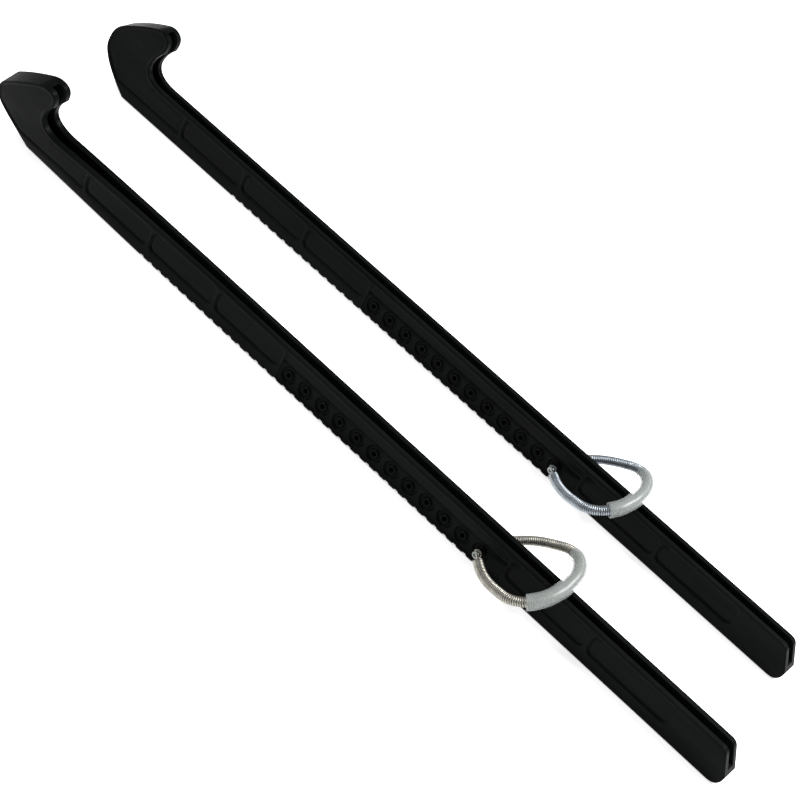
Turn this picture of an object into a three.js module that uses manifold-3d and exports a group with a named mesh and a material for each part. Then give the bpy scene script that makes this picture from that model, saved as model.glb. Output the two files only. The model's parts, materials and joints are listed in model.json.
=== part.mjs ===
// A pair of long ice-skate blade guards. Each is a moulded channel with a hooked toe, a row of
// ringed cross holes and a coil-spring loop that is hinged on a pin through the last hole.
// Millimetres, +Z up. +X runs from the toe to the rear, and the origin is the middle of the
// pair's footprint, on the surface that the soles stand on.

import * as THREE from 'three';
import { mergeVertices } from 'three/addons/utils/BufferGeometryUtils.js';
import Module from 'manifold-3d';

const wasm = await Module();
wasm.setup();

// ---------------------------------------------------------------- driving dimensions

const meetGap = 0.3;            // left between pieces that touch on the real object

// Guard moulding
const guardLength = 472;
const channelWidth = 10;        // across the sunk side fields
const rimProud = 0.35;          // the rim and the base band stand out this far from the fields
const channelHeight = 19;
const slotWidth = 4.2;
const slotFloorHeight = 9.4;
const rimHeight = 1.5;
const baseBandHeight = 6.2;
const rearPlainLength = 33;     // smooth stretch at the open rear end
const rearPanelLength = 48.9;   // each of the two sunk fields ahead of it
const firstPanelX = 62.6;
const frontPanelCount = 3;
const panelRib = 1.3;           // rib left between neighbouring fields
const panelCorner = 2.2;
const rearCutBack = 6.5;        // how far the top rear corner is cut back
const rearCutHeight = 7;        // the rear end is upright below this height

// Toe hook, in the side view: the places its edges pass and the handles of the curves between them
const throatStart = [43.6, 19];
const throatFootHandle = [37, 19];
const throatRiseHandle = [29.9, 20.5];
const throatDeep = [29.6, 26.8];
const throatTopHandle = [29.9, 32.4];
const tipBack = [34.6, 38.2];
const tipTopHandle = [37.4, 47.6];
const tipCrown = [29.5, 48.4];
const slopeTopHandle = [27, 48.4];
const slopeTop = [24.9, 47.3];
const slopeHandle = [13.2, 41.6];
const slopeFoot = [3.6, 33.6];
const foreheadHandle = [-0.236, 29.8];
const noseFront = [-0.236, 21.7];
const chinHandle = [-0.1, 12.7];
const hookFoot = [20.5, 0];
const hookWall = 2.7;

// Cross holes
const holePitch = 11.2;
const holeCount = 12;
const holeHeight = 7.1;
const holeRadius = 1.2;
const holeRingRadius = 2.4;     // raised ring round each hole
const holePocketRadius = 4.2;   // round pocket outside the ring
const holePocketDepth = 0.6;
const studFieldTop = 13.2;
const studFieldDepth = 0.3;
const studFieldTail = 13.6;     // from the last hole to the end of its field
const studFieldBase = 1.6;      // height of the edge left under the field, above the notches

// Sole notches
const notchPitch = 6.15;
const notchWidth = 2.8;
const notchDepth = 0.9;
const notchStartX = 105;
const notchCount = 37;

// Cross pin, its cap, and the spring's end eyes
const pinRadius = 0.9;
const pinHeadRadius = 1.9;
const pinHeadThickness = 1;
const pinHeadChamfer = 0.3;
const pinDimpleRadius = 0.55;
const pinDimpleDepth = 0.6;
const pinTailLength = 0.5;      // how far the pin goes into its cap
const capFloor = 0.6;
const eyeClearance = 0.35;
const eyeOuterRadius = 2.3;
const eyeThickness = 1.8;
const eyeChamfer = 0.4;

// Spring loop and its clear sleeve
const springDiameter = 4.8;
const strandStart = 3.4;        // how far behind the pin the coils start
const strandSetOff = 3.2;       // the coils' middle starts this far outside the eyes
const loopReach = 44.2;         // from the pin to the middle of the loop's rear crossing
const loopHalfWidth = 21.6;
const loopRearRun = 14;         // the strands start to close in this far ahead of the crossing
const loopSideSet = 3;          // how far the crossing's middle lies towards the pin's head end
const sleeveClearance = 0.45;
const sleeveWall = 0.95;
const sleeveStart = 0.38;       // share of the loop's length, counted from the pin's head end
const sleeveEnd = 0.71;

// How the two guards lie beside each other
const pairSpacing = 84.4;
const leftGuardSetback = 15.2;
const leftLoopRoll = THREE.MathUtils.degToRad(12);   // each loop rests with its near side lower
const rightLoopRoll = THREE.MathUtils.degToRad(8);
const toeLean = THREE.MathUtils.degToRad(24);   // set that the left guard's toe has taken
const toeLeanLength = 155;
const toeLeanPower = 1.8;
const toeLeanStep = 20;

// How finely round shapes are divided
const outlineSteps = 5;
const fieldSteps = 3;
const pocketSides = 12;
const holeSides = 8;
const turnedSides = 12;
const tubeQuarterSteps = 5;
const springSteps = 32;
const sleeveSteps = 14;
const weldDistance = 1e-4;
const cutOver = 1;              // how far a cutter runs past what it cuts

// ---------------------------------------------------------------- derived sizes

const fieldHalf = channelWidth / 2;
const rimHalf = fieldHalf + rimProud;
const fieldTop = channelHeight - rimHeight;
const studEndX = guardLength - rearPlainLength - 2 * rearPanelLength;
const anchorX = studEndX - studFieldTail;
const firstHoleX = anchorX - (holeCount - 1) * holePitch;
const studStartX = firstHoleX - holePocketRadius - panelRib;
const eyeInnerRadius = pinRadius + eyeClearance;
const eyeFace = rimHalf + meetGap;
const headFace = eyeFace + eyeThickness + meetGap;
const strandStartWidth = eyeFace + eyeThickness + strandSetOff;
const sleeveInnerRadius = springDiameter / 2 + sleeveClearance;
const sleeveOuterRadius = sleeveInnerRadius + sleeveWall;

// ---------------------------------------------------------------- materials

const blackPlastic = new THREE.MeshStandardMaterial({ color: 0x17191a, roughness: 0.5, metalness: 0 });
const zincWire = new THREE.MeshStandardMaterial({ color: 0xb9bcb8, roughness: 0.3, metalness: 0.9 });
const pinSteel = new THREE.MeshStandardMaterial({ color: 0xc6c8c6, roughness: 0.35, metalness: 0.9 });
const clearVinyl = new THREE.MeshStandardMaterial({
  color: 0xdfe4e2, roughness: 0.2, metalness: 0, transparent: true, opacity: 0.5,
});

// ---------------------------------------------------------------- solids and cuts

function toSolid(geometry) {
  geometry.deleteAttribute('normal');
  geometry.deleteAttribute('uv');
  const welded = mergeVertices(geometry, weldDistance);
  const vertProperties = new Float32Array(welded.attributes.position.array);
  const triVerts = new Uint32Array(welded.index.array);
  return new wasm.Manifold(new wasm.Mesh({ numProp: 3, vertProperties, triVerts }));
}

function toGeometry(solid) {
  const { vertProperties, triVerts } = solid.getMesh();
  const geometry = new THREE.BufferGeometry();
  geometry.setAttribute('position', new THREE.BufferAttribute(new Float32Array(vertProperties), 3));
  geometry.setIndex(new THREE.BufferAttribute(new Uint32Array(triVerts), 1));
  return geometry;
}

// A side-view shape, x along the guard and y up, made into a plate between two places across.
function plate(shape, lowY, highY, curveSegments = outlineSteps) {
  const geometry = new THREE.ExtrudeGeometry(shape, {
    depth: highY - lowY, bevelEnabled: false, curveSegments,
  });
  geometry.rotateX(Math.PI / 2);
  geometry.translate(0, highY, 0);
  return toSolid(geometry);
}

// A profile of [radius, y] pairs turned about the Y axis.
function turned(profile, sides) {
  const points = profile.map(([radius, y]) => new THREE.Vector2(radius, y));
  return new THREE.LatheGeometry(points, sides);
}

function box(lowX, highX, lowY, highY, lowZ, highZ) {
  const geometry = new THREE.BoxGeometry(highX - lowX, highY - lowY, highZ - lowZ);
  geometry.translate((lowX + highX) / 2, (lowY + highY) / 2, (lowZ + highZ) / 2);
  return toSolid(geometry);
}

// An open line of points moved to its left by a distance.
function offsetLine(points, distance) {
  return points.map((point, i) => {
    const before = points[Math.max(i - 1, 0)];
    const after = points[Math.min(i + 1, points.length - 1)];
    const along = after.clone().sub(before).normalize();
    return new THREE.Vector2(point.x - along.y * distance, point.y + along.x * distance);
  });
}

// The start of a falling line of points, down to where it crosses a height.
function cutAtHeight(points, height) {
  const last = points.findIndex((point) => point.y < height);
  const above = points[last - 1];
  const below = points[last];
  const crossing = above.clone().lerp(below, (above.y - height) / (above.y - below.y));
  return [...points.slice(0, last), crossing];
}

// ---------------------------------------------------------------- guard moulding

// The rising edge behind the hook, from the channel's top to the back of the hook's tip.
function throatEdge() {
  const path = new THREE.Path();
  path.moveTo(...throatStart);
  path.bezierCurveTo(...throatFootHandle, ...throatRiseHandle, ...throatDeep);
  path.quadraticCurveTo(...throatTopHandle, ...tipBack);
  return path.getPoints(outlineSteps);
}

// The hook's front edge, from the back of its tip over the crowned slope and round the nose to the sole.
function noseEdge() {
  const path = new THREE.Path();
  path.moveTo(...tipBack);
  path.quadraticCurveTo(...tipTopHandle, ...tipCrown);
  path.quadraticCurveTo(...slopeTopHandle, ...slopeTop);
  path.quadraticCurveTo(...slopeHandle, ...slopeFoot);
  path.quadraticCurveTo(...foreheadHandle, ...noseFront);
  path.quadraticCurveTo(...chinHandle, ...hookFoot);
  return path.getPoints(outlineSteps);
}

function guardOutline() {
  const shape = new THREE.Shape();
  shape.moveTo(...hookFoot);
  shape.lineTo(guardLength - rearCutBack, 0);
  shape.quadraticCurveTo(guardLength, 0, guardLength, rearCutHeight);
  shape.lineTo(guardLength - rearCutBack, channelHeight);
  const edge = [...throatEdge(), ...noseEdge().slice(1, -1)];
  for (const point of edge) {
    shape.lineTo(point.x, point.y);
  }
  return shape;
}

// The blade slot: open along the top, at the rear and at the hook's tip, one wall in from the nose.
function slotOutline() {
  const beyond = guardLength + 10 * cutOver;
  const slope = new THREE.Vector2(...slopeTop).sub(new THREE.Vector2(...slopeFoot)).normalize();
  const front = cutAtHeight(offsetLine(noseEdge(), hookWall), slotFloorHeight);
  const nose = front.filter((point) => point.y < slopeFoot[1]).reverse();
  const mouth = nose[nose.length - 1].clone().addScaledVector(slope, tipCrown[1]);
  return new THREE.Shape([
    new THREE.Vector2(beyond, slotFloorHeight), ...nose, mouth, new THREE.Vector2(beyond, mouth.y),
  ]);
}

function roundedField(lowX, highX, lowZ, highZ, corner) {
  const shape = new THREE.Shape();
  shape.moveTo(lowX + corner, lowZ);
  shape.lineTo(highX - corner, lowZ);
  shape.quadraticCurveTo(highX, lowZ, highX, lowZ + corner);
  shape.lineTo(highX, highZ);
  shape.lineTo(lowX, highZ);
  shape.lineTo(lowX, lowZ + corner);
  shape.quadraticCurveTo(lowX, lowZ, lowX + corner, lowZ);
  return shape;
}

// The sunk field of the hook's side, one rim in from the hook's edges.
function hookField() {
  const rear = firstPanelX - panelRib;
  const front = cutAtHeight(offsetLine(noseEdge(), rimHeight).slice(1), baseBandHeight);
  return new THREE.Shape([
    new THREE.Vector2(rear, baseBandHeight), new THREE.Vector2(rear, fieldTop),
    ...offsetLine(throatEdge(), rimHeight), ...front,
  ]);
}

function sideFields() {
  const frontPitch = (studStartX - firstPanelX) / frontPanelCount;
  const spans = [];
  for (let i = 0; i < frontPanelCount; i += 1) {
    spans.push([firstPanelX + i * frontPitch, firstPanelX + (i + 1) * frontPitch - panelRib]);
  }
  for (let i = 0; i < 2; i += 1) {
    const start = studEndX + i * rearPanelLength;
    spans.push([start + panelRib, start + rearPanelLength]);
  }
  const shapes = spans.map(([low, high]) => roundedField(low, high, baseBandHeight, fieldTop, panelCorner));
  shapes.push(hookField());
  shapes.push(roundedField(studStartX, studEndX, studFieldTop, fieldTop, panelRib / 4));
  return shapes;
}

// A ring-shaped cutter for the pocket round a cross hole, lying across the guard.
function pocketCutter(lowY, highY) {
  return toSolid(turned([
    [holeRingRadius, lowY], [holePocketRadius, lowY], [holePocketRadius, highY],
    [holeRingRadius, highY], [holeRingRadius, lowY],
  ], pocketSides));
}

function holeCutter() {
  const reach = rimHalf + cutOver;
  return toSolid(turned([[0, -reach], [holeRadius, -reach], [holeRadius, reach], [0, reach]], holeSides));
}

function guardSolid() {
  const outside = rimHalf + cutOver;
  const cuts = [plate(slotOutline(), -slotWidth / 2, slotWidth / 2)];
  for (const shape of sideFields()) {
    cuts.push(plate(shape, fieldHalf, outside, fieldSteps));
    cuts.push(plate(shape, -outside, -fieldHalf, fieldSteps));
  }
  const studFace = fieldHalf - studFieldDepth;
  const studShape = roundedField(studStartX, studEndX, studFieldBase, studFieldTop, panelRib / 4);
  cuts.push(plate(studShape, studFace, outside, 1));
  cuts.push(plate(studShape, -outside, -studFace, 1));
  const pocketFloor = studFace - holePocketDepth;
  for (let i = 0; i < holeCount; i += 1) {
    const x = firstHoleX + i * holePitch;
    cuts.push(pocketCutter(pocketFloor, outside).translate([x, 0, holeHeight]));
    cuts.push(pocketCutter(-outside, -pocketFloor).translate([x, 0, holeHeight]));
    cuts.push(holeCutter().translate([x, 0, holeHeight]));
  }
  for (let i = 0; i < notchCount; i += 1) {
    const x = notchStartX + i * notchPitch;
    cuts.push(box(x, x + notchWidth, -outside, outside, -cutOver, notchDepth));
  }
  return cuts.reduce((body, cut) => body.subtract(cut), plate(guardOutline(), -rimHalf, rimHalf));
}

// Divides every triangle that crosses the plane x = place, so that the mesh can bend there.
function splitAt(triangles, place) {
  const out = [];
  for (const corners of triangles) {
    const low = corners.filter((p) => p.x < place);
    const high = corners.filter((p) => p.x > place);
    if (low.length === 0 || high.length === 0) {
      out.push(corners);
      continue;
    }
    const ring = [];
    for (let i = 0; i < 3; i += 1) {
      const a = corners[i];
      const b = corners[(i + 1) % 3];
      ring.push(a);
      if ((a.x - place) * (b.x - place) < 0) {
        const [from, to] = a.x < b.x ? [a, b] : [b, a];
        const crossing = from.clone().lerp(to, (place - from.x) / (to.x - from.x));
        crossing.x = place;
        ring.push(crossing);
      }
    }
    for (const side of [-1, 1]) {
      const part = ring.filter((p) => (p.x - place) * side >= 0);
      for (let i = 1; i + 1 < part.length; i += 1) {
        out.push([part[0], part[i], part[i + 1]]);
      }
    }
  }
  return out;
}

// Turns the toe end about the near edge of the sole, more and more towards the nose.
function leanToe(geometry) {
  const flat = geometry.toNonIndexed();
  const source = flat.attributes.position;
  let triangles = [];
  for (let i = 0; i < source.count; i += 3) {
    triangles.push([0, 1, 2].map((k) => new THREE.Vector3().fromBufferAttribute(source, i + k)));
  }
  for (let place = toeLeanStep; place <= toeLeanLength; place += toeLeanStep) {
    triangles = splitAt(triangles, place);
  }
  const positions = [];
  for (const corner of triangles.flat()) {
    const share = Math.max(0, (toeLeanLength - corner.x) / toeLeanLength);
    const angle = toeLean * share ** toeLeanPower;
    const across = corner.y + rimHalf;
    positions.push(
      corner.x,
      across * Math.cos(angle) - corner.z * Math.sin(angle) - rimHalf,
      across * Math.sin(angle) + corner.z * Math.cos(angle),
    );
  }
  const leaned = new THREE.BufferGeometry();
  leaned.setAttribute('position', new THREE.Float32BufferAttribute(positions, 3));
  return mergeVertices(leaned, weldDistance);
}

// ---------------------------------------------------------------- pin, cap and eyes

// Turned pieces are made about the Y axis, which is the cross pin's.
function pinGeometry() {
  const head = -headFace - pinHeadThickness;
  const rear = headFace + pinTailLength;
  return turned([
    [0, head + pinDimpleDepth], [pinDimpleRadius, head + pinDimpleDepth], [pinDimpleRadius, head],
    [pinHeadRadius - pinHeadChamfer, head], [pinHeadRadius, head + pinHeadChamfer],
    [pinHeadRadius, -headFace], [pinRadius, -headFace], [pinRadius, rear], [0, rear],
  ], turnedSides);
}

function capGeometry() {
  const bore = pinRadius + meetGap;
  const boreEnd = headFace + pinTailLength + meetGap;
  const outer = boreEnd + capFloor;
  return turned([
    [bore, headFace], [pinHeadRadius, headFace], [pinHeadRadius, outer - pinHeadChamfer],
    [pinHeadRadius - pinHeadChamfer, outer], [0, outer], [0, boreEnd], [bore, boreEnd],
    [bore, headFace],
  ], turnedSides);
}

function eyeGeometry(side) {
  const low = side < 0 ? -eyeFace - eyeThickness : eyeFace;
  const high = low + eyeThickness;
  return turned([
    [eyeInnerRadius, low], [eyeOuterRadius - eyeChamfer, low], [eyeOuterRadius, low + eyeChamfer],
    [eyeOuterRadius, high - eyeChamfer], [eyeOuterRadius - eyeChamfer, high], [eyeInnerRadius, high],
    [eyeInnerRadius, low],
  ], turnedSides);
}

// ---------------------------------------------------------------- spring loop and sleeve

// The middle line of the bent spring, from the pin's head end. A point is a distance behind the
// pin in the loop's tilted plane and a distance across; the loop clears the guard's top edges.
function loopRoute(roll) {
  const rise = channelHeight + sleeveOuterRadius + 2 * meetGap + rimHalf * Math.sin(roll) - holeHeight;
  const tilt = Math.asin(rise / loopReach);
  const spread = loopHalfWidth - strandStartWidth;
  const rearStart = loopReach - loopRearRun;
  const half = [
    [strandStart, strandStartWidth], [0.28 * rearStart, strandStartWidth + 0.34 * spread],
    [0.5 * rearStart, strandStartWidth + 0.66 * spread], [0.76 * rearStart, strandStartWidth + 0.9 * spread],
    [rearStart, loopHalfWidth], [loopReach - 0.52 * loopRearRun, 0.88 * loopHalfWidth],
    [loopReach - 0.14 * loopRearRun, 0.56 * loopHalfWidth], [loopReach, 0.2 * loopHalfWidth],
  ];
  const back = half.map(([behind, across]) => [behind, -across]);
  const route = [...back, ...half.reverse()];
  return new THREE.CatmullRomCurve3(route.map(([behind, across]) => {
    const rolled = across * Math.sin(roll) * Math.min(1, behind / strandStartWidth);
    const set = loopSideSet * behind / loopReach;
    return new THREE.Vector3(behind * Math.cos(tilt), across - set, behind * Math.sin(tilt) + rolled);
  }));
}

class Stretch extends THREE.Curve {
  constructor(whole, from, to) {
    super();
    this.whole = whole;
    this.from = from;
    this.to = to;
  }

  getPoint(t, target = new THREE.Vector3()) {
    return target.copy(this.whole.getPointAt(this.from + t * (this.to - this.from)));
  }
}

function roundSection(outerRadius, innerRadius) {
  const shape = new THREE.Shape();
  shape.absarc(0, 0, outerRadius, 0, 2 * Math.PI, false);
  if (innerRadius) {
    const hole = new THREE.Path();
    hole.absarc(0, 0, innerRadius, 0, 2 * Math.PI, true);
    shape.holes.push(hole);
  }
  return shape;
}

function springGeometry(route) {
  return new THREE.ExtrudeGeometry(roundSection(springDiameter / 2), {
    extrudePath: new Stretch(route, 0, 1),
    steps: springSteps, curveSegments: tubeQuarterSteps, bevelEnabled: false,
  });
}

function sleeveGeometry(route) {
  return new THREE.ExtrudeGeometry(roundSection(sleeveOuterRadius, sleeveInnerRadius), {
    extrudePath: new Stretch(route, sleeveStart, sleeveEnd),
    steps: sleeveSteps, curveSegments: tubeQuarterSteps, bevelEnabled: false,
  });
}

// ---------------------------------------------------------------- the pair

function named(name, geometry, material) {
  const clean = geometry.index ? geometry : mergeVertices(geometry, weldDistance);
  clean.computeVertexNormals();
  const mesh = new THREE.Mesh(clean, material);
  mesh.name = name;
  return mesh;
}

function guardAssembly(prefix, leaning, loopRoll) {
  const assembly = new THREE.Group();
  const body = toGeometry(guardSolid());
  assembly.add(named(`${prefix}_guard_body`, leaning ? leanToe(body) : body, blackPlastic));
  const onPin = new THREE.Group();
  onPin.position.set(anchorX, 0, holeHeight);
  const route = loopRoute(loopRoll);
  onPin.add(named(`${prefix}_cross_pin`, pinGeometry(), pinSteel));
  onPin.add(named(`${prefix}_pin_cap`, capGeometry(), pinSteel));
  onPin.add(named(`${prefix}_spring_eye_head_end`, eyeGeometry(-1), zincWire));
  onPin.add(named(`${prefix}_spring_eye_cap_end`, eyeGeometry(1), zincWire));
  onPin.add(named(`${prefix}_spring_coil`, springGeometry(route), zincWire));
  onPin.add(named(`${prefix}_clear_sleeve`, sleeveGeometry(route), clearVinyl));
  assembly.add(onPin);
  return assembly;
}

const pair = new THREE.Group();
const leftGuard = guardAssembly('left', true, leftLoopRoll);
leftGuard.position.set(leftGuardSetback, -pairSpacing, 0);
pair.add(leftGuard);
pair.add(guardAssembly('right', false, rightLoopRoll));

// The origin goes to the middle of the footprint.
const extent = new THREE.Box3().setFromObject(pair);
const middle = extent.getCenter(new THREE.Vector3());
for (const guard of pair.children) {
  guard.position.x -= middle.x;
  guard.position.y -= middle.y;
}

export default pair;
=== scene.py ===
import json
import math

import bmesh
import bpy
import numpy as np
from mathutils import Matrix, Vector
from mathutils.geometry import delaunay_2d_cdt
from mathutils.kdtree import KDTree


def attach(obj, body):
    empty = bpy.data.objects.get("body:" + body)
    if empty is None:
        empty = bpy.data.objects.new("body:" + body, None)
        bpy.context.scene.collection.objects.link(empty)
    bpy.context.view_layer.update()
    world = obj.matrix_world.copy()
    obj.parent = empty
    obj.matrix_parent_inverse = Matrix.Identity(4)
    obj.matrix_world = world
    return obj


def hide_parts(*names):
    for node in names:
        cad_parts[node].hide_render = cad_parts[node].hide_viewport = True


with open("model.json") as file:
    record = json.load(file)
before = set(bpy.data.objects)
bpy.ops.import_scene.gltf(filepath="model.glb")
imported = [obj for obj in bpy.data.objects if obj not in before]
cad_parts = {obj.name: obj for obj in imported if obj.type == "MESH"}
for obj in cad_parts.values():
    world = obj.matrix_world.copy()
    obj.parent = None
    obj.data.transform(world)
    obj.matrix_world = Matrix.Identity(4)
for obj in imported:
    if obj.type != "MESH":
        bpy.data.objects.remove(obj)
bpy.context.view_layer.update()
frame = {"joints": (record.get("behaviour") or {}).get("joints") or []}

# A pair of black moulded blade guards. Each one is a channel with a hook at the toe, and a bent
# spring with a clear sleeve that swings about a cross pin. Sizes are in millimetres until a mesh
# is placed. A guard's own x runs from the nose to the rear, y across it and z up from the sole.

MM = 0.001

# ---------------------------------------------------------------- sizes of a guard

GUARD_LENGTH = 472
CHANNEL_HEIGHT = 19
RIM_HALF = 5.35             # half the width over the rims
PANEL_SINK = 0.35           # how deep the side panels lie under the rims
RIM_HEIGHT = 1.5
PANEL_BASE = 6.2
PANEL_TOP = CHANNEL_HEIGHT - RIM_HEIGHT
PANEL_RIB = 1.3
GROOVE_SINK = 0.55          # the moulded groove inside a panel's border
PANEL_CORNER = 3.4
FIRST_PANEL = 62.6
REAR_PANEL = 48.9
REAR_PLAIN = 33
SLOT_HALF = 2.1
SLOT_FLOOR = 9.4
NOSE_WALL = 2.7
EDGE_ROUND = 0.6            # moulded rounding of the outer edges
LIP_ROUND = 0.35            # rounding of the slot's own edges
REAR_CUT = 6.5
REAR_CUT_HEIGHT = 7
REAR_CORNER = 2.8           # rounding of the top rear corner
RELIEF_FLANK = 0.3          # half the width of the slope between two levels of the side
HOOK_FLANK = 0.35
GROOVE_INSET = 0.7          # from a panel's border to the middle of its groove
HOOK_GROOVE_SINK = 0.3
HOOK_GROOVE_INSET = 0.8

HOLE_PITCH = 11.2
HOLE_COUNT = 12
HOLE_HEIGHT = 7.1
HOLE_RADIUS = 1.2
RING_RADIUS = 2.4
POCKET_RADIUS = 4.2
POCKET_SINK = 0.85
STUD_SINK = 0.3
STUD_BASE = 1.6
STUD_TOP = 13.2
STUD_TAIL = 13.6
STUD_CORNER = 0.5
BAND_CORNER = 0.3           # of the sunk band over the stud field
STUD_END = GUARD_LENGTH - REAR_PLAIN - 2 * REAR_PANEL
PIN_PLACE = STUD_END - STUD_TAIL
FIRST_HOLE = PIN_PLACE - (HOLE_COUNT - 1) * HOLE_PITCH
STUD_START = FIRST_HOLE - POCKET_RADIUS - PANEL_RIB

NOTCH_PITCH = 6.15
NOTCH_WIDTH = 3.0
NOTCH_DEPTH = 0.65
NOTCH_START = 104.9
NOTCH_COUNT = 37
NOTCH_FLANK = 0.45          # half the length of a notch's rounded flank

# The hook's side view: the places its edges pass and the handles of the curves between them
THROAT_START = (43.6, 19)
THROAT_FOOT_HANDLE = (37, 19)
THROAT_RISE_HANDLE = (29.9, 20.5)
THROAT_DEEP = (29.6, 26.8)
THROAT_TOP_HANDLE = (29.9, 32.4)
TIP_BACK = (34.6, 38.2)
TIP_TOP_HANDLE = (37.4, 47.6)
TIP_CROWN = (29.5, 48.4)
SLOPE_TOP_HANDLE = (27, 48.4)
SLOPE_TOP = (24.9, 47.3)
SLOPE_HANDLE = (13.2, 41.6)
SLOPE_FOOT = (3.6, 33.6)
FOREHEAD_HANDLE = (-0.236, 29.8)
NOSE_FRONT = (-0.236, 21.7)
CHIN_HANDLE = (-0.1, 12.7)
HOOK_FOOT = (20.5, 0)

# The left guard's toe has taken a lean
TOE_LEAN = math.radians(24)
TOE_LEAN_LENGTH = 155
TOE_LEAN_POWER = 1.8
TOE_SET = 2.4               # and is set this far sideways at the nose

# ---------------------------------------------------------------- sizes of the pin and the spring

PIN_HEAD_THICKNESS = 1
PIN_TAIL = 0.5              # how far the pin goes into its cap
CAP_FLOOR = 0.6
EYE_FACE = 5.65             # from the guard's middle to the inner face of a spring eye
EYE_THICKNESS = 1.8
HEAD_FACE = 7.75            # from the guard's middle to the inner face of the pin's head or cap
WIRE_RADIUS = 0.48
EYE_WIRE_RADIUS = 0.42
COIL_RADIUS = 1.92          # of the coil's wire line, so that the coil is 4.8 across
EYE_RADIUS = 1.8
EYE_TURNS = 1.75
EYE_SPARE = 0.04            # left beside an eye's wire within the eye's thickness
STRAND_START = 3.4
STRAND_START_WIDTH = 10.65
LOOP_REACH = 44.2
LOOP_HALF_WIDTH = 21.6
LOOP_REAR_RUN = 14
LOOP_SIDE_SET = 3
SLEEVE_INNER = 2.85
SLEEVE_OUTER = 3.8
SLEEVE_STARTS = {"left": 0.315, "right": 0.35}
SLEEVE_END = 0.71
SLEEVE_SAG = 0.25           # the loose sleeve hangs this far below the spring's middle line
SLEEVE_SIDES = 40
MEET_GAP = 0.3

# ---------------------------------------------------------------- how finely the meshes are made

CURVE_STEPS = 40            # along each curve of the hook's outline
FINE_STEP = 0.6             # along the outline's edges
SOLE_STEP = 1.1
TOP_STEP = 0.9
FLOOR_STEP = 1.5
SIDE_SPACING = 1.5          # between the points on the plain parts of a side
SLOT_SPACING = 3
SAME_PLACE = 0.06           # points nearer than this are taken as one
SAME_VERTEX = 5e-7          # in metres: mesh vertices nearer than this are joined
HOLE_SIDES = 24
PIN_SIDES = 40
EYE_WIRE_SIDES = 12

# ---------------------------------------------------------------- lines in the side view


def bezier(corners, steps):
    """Points along one curve through its first and last corner."""
    t = np.linspace(0, 1, steps + 1)[:, None]
    points = [np.tile(np.array(corner, float), (steps + 1, 1)) for corner in corners]
    while len(points) > 1:
        points = [a + (b - a) * t for a, b in zip(points, points[1:])]
    return points[0]


def joined(*lines):
    """Lines that meet end to end, as one."""
    return np.concatenate([lines[0]] + [line[1:] for line in lines[1:]])


def respaced(line, spacing):
    """The same line with evenly spaced points."""
    line = np.array(line, float)
    run = np.concatenate([[0], np.cumsum(np.linalg.norm(np.diff(line, axis=0), axis=1))])
    at = np.linspace(0, run[-1], max(1, round(run[-1] / spacing)) + 1)
    return np.stack([np.interp(at, run, line[:, k]) for k in range(line.shape[1])], axis=1)


def moved_left(line, distance, closed=False):
    """A line moved sideways, to its left."""
    if closed:
        along = np.roll(line, -1, axis=0) - np.roll(line, 1, axis=0)
    else:
        padded = np.concatenate([line[:1], line, line[-1:]])
        along = padded[2:] - padded[:-2]
    along /= np.maximum(np.linalg.norm(along, axis=1, keepdims=True), 1e-9)
    return line + np.stack([-along[:, 1], along[:, 0]], axis=1) * distance


def edge_distance(points, line):
    """How far each point lies from a line of points."""
    best = np.full(len(points), 1e9)
    starts = line[:-1]
    runs = line[1:] - line[:-1]
    lengths = np.maximum((runs ** 2).sum(1), 1e-12)
    for first in range(0, len(points), 2000):
        some = points[first:first + 2000, None, :] - starts[None]
        t = np.clip((some * runs).sum(2) / lengths, 0, 1)
        away = some - runs * t[..., None]
        best[first:first + 2000] = np.sqrt((away ** 2).sum(2).min(1))
    return best


def inside(points, outline):
    """Which points lie inside a closed outline."""
    odd = np.zeros(len(points), bool)
    a = outline
    b = np.roll(outline, -1, axis=0)
    rise = np.where(np.abs(b[:, 1] - a[:, 1]) < 1e-12, 1e-12, b[:, 1] - a[:, 1])
    for first in range(0, len(points), 4000):
        p = points[first:first + 4000]
        spans = (a[:, 1] > p[:, 1:2]) != (b[:, 1] > p[:, 1:2])
        crossing = a[:, 0] + (p[:, 1:2] - a[:, 1]) * (b[:, 0] - a[:, 0]) / rise
        odd[first:first + 4000] = (spans & (p[:, 0:1] < crossing)).sum(1) % 2 == 1
    return odd


def eased(value):
    """A smooth step from 0 at -1 to 1 at 1."""
    t = np.clip((value + 1) / 2, 0, 1)
    return t * t * (3 - 2 * t)


def bump(distance, width):
    """A smooth hump of height 1 at no distance."""
    return np.exp(-(distance / width) ** 2)


# ---------------------------------------------------------------- outline of a guard


def sole_line():
    """The sole from the hook's foot to the rear, with its rounded cross notches."""
    clear, over = 0.9, 0.4
    places = list(np.arange(HOOK_FOOT[0], GUARD_LENGTH - REAR_CUT, SOLE_STEP))
    notches = NOTCH_START + NOTCH_PITCH * np.arange(NOTCH_COUNT)
    for start in notches:
        places = [x for x in places if not start - clear < x < start + NOTCH_WIDTH + clear]
        places += list(start + np.linspace(-over, NOTCH_WIDTH + over, 16))
    x = np.array(sorted(places) + [GUARD_LENGTH - REAR_CUT])
    into = (x - NOTCH_START) % NOTCH_PITCH
    notched = (x > NOTCH_START - 1) & (x < notches[-1] + NOTCH_WIDTH + 1)
    rise = eased((into - NOTCH_FLANK) / NOTCH_FLANK)
    rise = rise * eased((NOTCH_WIDTH - NOTCH_FLANK - into) / NOTCH_FLANK)
    return np.stack([x, np.where(notched, rise * NOTCH_DEPTH, 0)], axis=1)


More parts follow.
